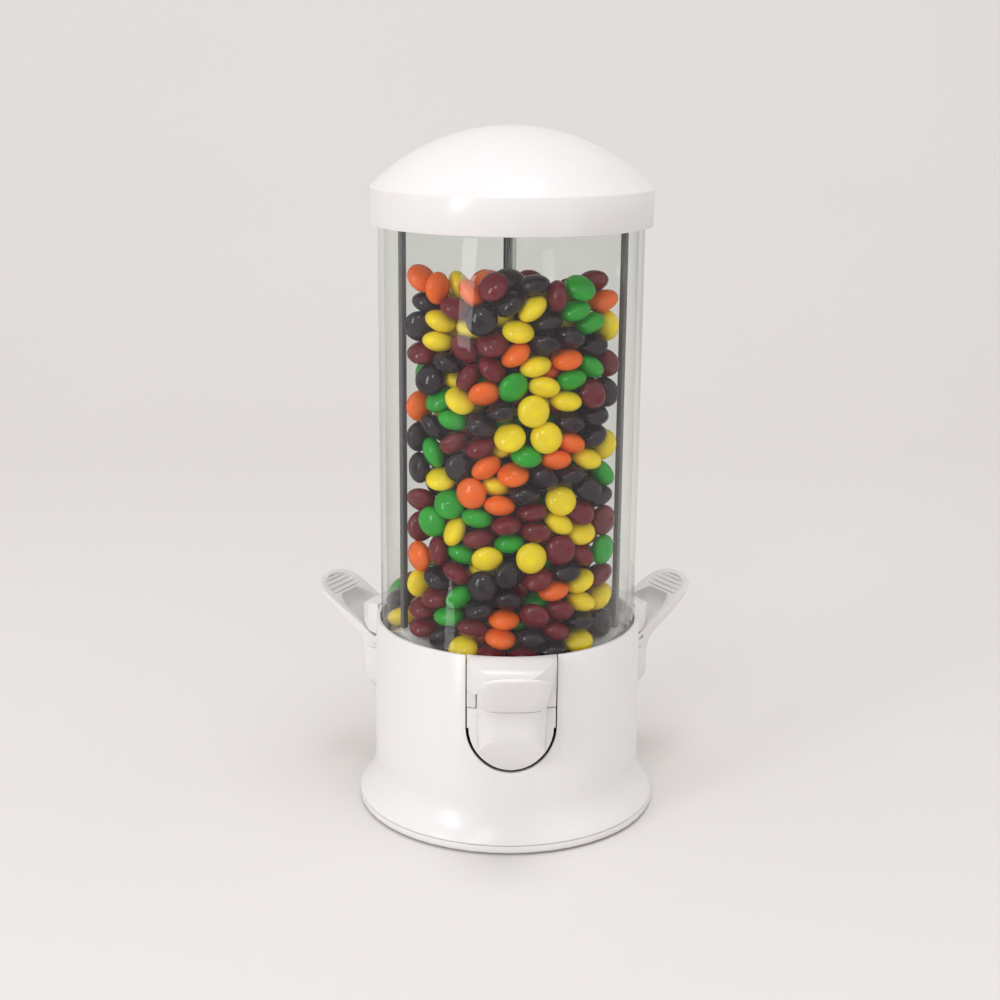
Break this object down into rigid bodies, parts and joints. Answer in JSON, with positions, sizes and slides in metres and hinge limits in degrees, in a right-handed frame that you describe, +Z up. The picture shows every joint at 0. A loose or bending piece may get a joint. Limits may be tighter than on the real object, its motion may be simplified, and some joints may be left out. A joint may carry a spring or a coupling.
{
  "type": "candy dispenser",
  "caption": "Counter-top sweet dispenser: clear divided tube on a round base, with a domed lid and spring-return tip-down lever spouts.",
  "frame": {"origin": "middle of the grip pad's underside, on the surface the dispenser stands on", "axes": "+Z up the tube's axis, -Y out through spout 1, +X to the right of someone facing spout 1"},
  "size_m": [0.175, 0.1648, 0.303],
  "materials": {
    "white_plastic": "glossy moulded",
    "clear_plastic": "clear, polished",
    "smoky_plastic": "dark translucent",
    "soft_seal": "soft matt",
    "steel": "plain bright",
    "sweet_yellow": "glossy sugar shell",
    "sweet_green": "glossy sugar shell",
    "sweet_orange": "glossy sugar shell",
    "sweet_red": "glossy sugar shell",
    "sweet_purple": "glossy sugar shell"
  },
  "bodies": {
    "base": {"base_shell": "white_plastic", "base_plate": "white_plastic", "grip_pad": "soft_seal", "hopper_floor": "white_plastic", "hopper_tube": "clear_plastic", "divider_post": "smoky_plastic", "divider_1": "clear_plastic", "divider_2": "clear_plastic", "divider_3": "clear_plastic", "divider_rail_1": "smoky_plastic", "divider_rail_2": "smoky_plastic", "divider_rail_3": "smoky_plastic", "base_screw_1": "steel", "spout_frame_1": "white_plastic", "pivot_pin_1": "steel", "return_spring_1": "steel", "base_screw_2": "steel", "spout_frame_2": "white_plastic", "pivot_pin_2": "steel", "return_spring_2": "steel", "base_screw_3": "steel", "spout_frame_3": "white_plastic", "pivot_pin_3": "steel", "return_spring_3": "steel"},
    "lid": {"lid_cover": "white_plastic", "lid_seal": "soft_seal"},
    "lever_1": {"lever_1": "white_plastic"},
    "lever_2": {"lever_2": "white_plastic"},
    "lever_3": {"lever_3": "white_plastic"}
  },
  "joints": [
    {"name": "lid_lift", "type": "slide", "parent": "base", "child": "lid", "axis": [0, 0, 1], "range_m": [0, 0.08]},
    {"name": "lever_1_press", "type": "hinge", "parent": "base", "child": "lever_1", "pos_m": [0, -0.052, 0.068], "axis": [1, 0, 0], "range_deg": [0, 60], "stiffness_Nm_per_rad": 0.01, "springref_deg": -34.38},
    {"name": "lever_2_press", "type": "hinge", "parent": "base", "child": "lever_2", "pos_m": [0.04503, 0.026, 0.068], "axis": [-0.5, 0.866, 0], "range_deg": [0, 60], "stiffness_Nm_per_rad": 0.01, "springref_deg": -34.38},
    {"name": "lever_3_press", "type": "hinge", "parent": "base", "child": "lever_3", "pos_m": [-0.04503, 0.026, 0.068], "axis": [-0.5, -0.866, 0], "range_deg": [0, 60], "stiffness_Nm_per_rad": 0.01, "springref_deg": -34.38}
  ]
}
